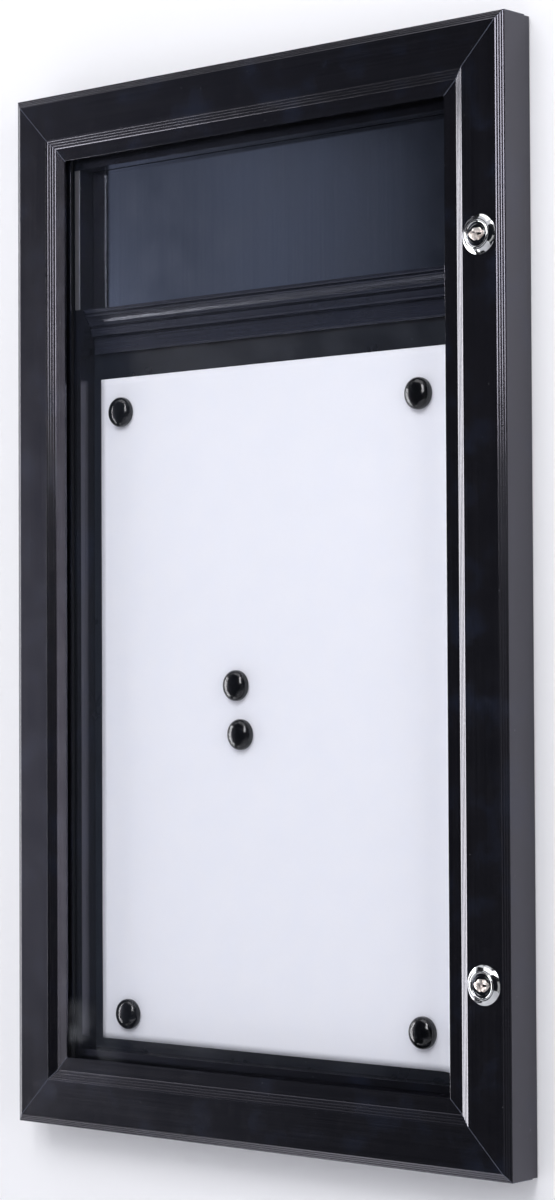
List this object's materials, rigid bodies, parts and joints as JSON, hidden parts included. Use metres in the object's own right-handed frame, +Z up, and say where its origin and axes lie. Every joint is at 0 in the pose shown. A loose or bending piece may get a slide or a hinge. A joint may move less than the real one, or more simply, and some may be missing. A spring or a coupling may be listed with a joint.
{
  "type": "lockable notice board",
  "caption": "Flat wall-mounted notice board with a hinged glazed door, cam locks, magnets that hold one portrait sheet, and a header compartment.",
  "frame": {"origin": "centre of the four wall screw holes, in the plane of the wall", "axes": "+Z up, +Y into the wall, +X to the right when facing the board"},
  "size_m": [0.396, 0.0296, 0.6586],
  "materials": {
    "black_anodised": "satin black anodised aluminium extrusion",
    "black_steel": "matt black powder-coated steel sheet",
    "graphite_brushed": "vertically brushed graphite aluminium",
    "bright_aluminium": "fine satin aluminium",
    "zinc_steel": "bright zinc-plated steel",
    "black_steel_hinge": "satin black steel strip",
    "chrome": "polished chrome",
    "paper": "uncoated white paper",
    "clear_glazing": "clear polished sheet",
    "black_rubber": "matt black rubber",
    "gloss_black_plastic": "gloss black moulded cap",
    "ferrite": "dark grey ferrite"
  },
  "bodies": {
    "case": {"back_frame_left": "black_anodised", "back_frame_right": "black_anodised", "back_frame_top": "black_anodised", "back_frame_bottom": "black_anodised", "back_corner_cleats": "bright_aluminium", "back_cleat_screws": "zinc_steel", "back_panel": "black_steel", "header_panel": "graphite_brushed", "header_bar": "black_anodised", "header_bar_ends": "black_anodised", "header_bar_screws": "zinc_steel", "header_trims": "bright_aluminium", "hinge_case_leaf": "black_steel_hinge", "hinge_pin": "zinc_steel", "hinge_case_screws": "black_steel_hinge", "paper_sheet": "paper"},
    "door": {"door_stile_left": "black_anodised", "door_stile_right": "black_anodised", "door_rail_top": "black_anodised", "door_rail_bottom": "black_anodised", "door_corner_cleats": "bright_aluminium", "door_cleat_screws": "zinc_steel", "glazing": "clear_glazing", "glazing_gasket": "black_rubber", "glazing_bead_left": "black_anodised", "glazing_bead_right": "black_anodised", "glazing_bead_top": "black_anodised", "glazing_bead_bottom": "black_anodised", "door_seal": "black_rubber", "hinge_door_leaf": "black_steel_hinge", "hinge_door_screws": "black_steel_hinge", "lock_housing_upper": "chrome", "lock_housing_lower": "chrome", "lock_nut_upper": "zinc_steel", "lock_nut_lower": "zinc_steel"},
    "lock_upper": {"lock_plug_upper": "chrome", "lock_cam_upper": "zinc_steel", "lock_cam_screw_upper": "zinc_steel"},
    "lock_lower": {"lock_plug_lower": "chrome", "lock_cam_lower": "zinc_steel", "lock_cam_screw_lower": "zinc_steel"},
    "magnet_top_left": {"magnet_cap_top_left": "gloss_black_plastic", "magnet_ferrite_top_left": "ferrite"},
    "magnet_top_right": {"magnet_cap_top_right": "gloss_black_plastic", "magnet_ferrite_top_right": "ferrite"},
    "magnet_middle_upper": {"magnet_cap_middle_upper": "gloss_black_plastic", "magnet_ferrite_middle_upper": "ferrite"},
    "magnet_middle_lower": {"magnet_cap_middle_lower": "gloss_black_plastic", "magnet_ferrite_middle_lower": "ferrite"},
    "magnet_bottom_left": {"magnet_cap_bottom_left": "gloss_black_plastic", "magnet_ferrite_bottom_left": "ferrite"},
    "magnet_bottom_right": {"magnet_cap_bottom_right": "gloss_black_plastic", "magnet_ferrite_bottom_right": "ferrite"}
  },
  "joints": [
    {"name": "door_hinge", "type": "hinge", "parent": "case", "child": "door", "pos_m": [-0.196, -0.0049, 0], "axis": [0, 0, -1], "range_deg": [0, 90]},
    {"name": "upper_lock_turn", "type": "hinge", "parent": "door", "child": "lock_upper", "pos_m": [0.18115, 0, 0.20305], "axis": [0, -1, 0], "range_deg": [0, 90]},
    {"name": "lower_lock_turn", "type": "hinge", "parent": "door", "child": "lock_lower", "pos_m": [0.18115, 0, -0.22005], "axis": [0, -1, 0], "range_deg": [0, 90]},
    {"name": "magnet_top_left_pull", "type": "slide", "parent": "case", "child": "magnet_top_left", "axis": [0, -1, 0], "range_m": [0, 0.007]},
    {"name": "magnet_top_right_pull", "type": "slide", "parent": "case", "child": "magnet_top_right", "axis": [0, -1, 0], "range_m": [0, 0.007]},
    {"name": "magnet_middle_upper_pull", "type": "slide", "parent": "case", "child": "magnet_middle_upper", "axis": [0, -1, 0], "range_m": [0, 0.007]},
    {"name": "magnet_middle_lower_pull", "type": "slide", "parent": "case", "child": "magnet_middle_lower", "axis": [0, -1, 0], "range_m": [0, 0.007]},
    {"name": "magnet_bottom_left_pull", "type": "slide", "parent": "case", "child": "magnet_bottom_left", "axis": [0, -1, 0], "range_m": [0, 0.007]},
    {"name": "magnet_bottom_right_pull", "type": "slide", "parent": "case", "child": "magnet_bottom_right", "axis": [0, -1, 0], "range_m": [0, 0.007]}
  ]
}
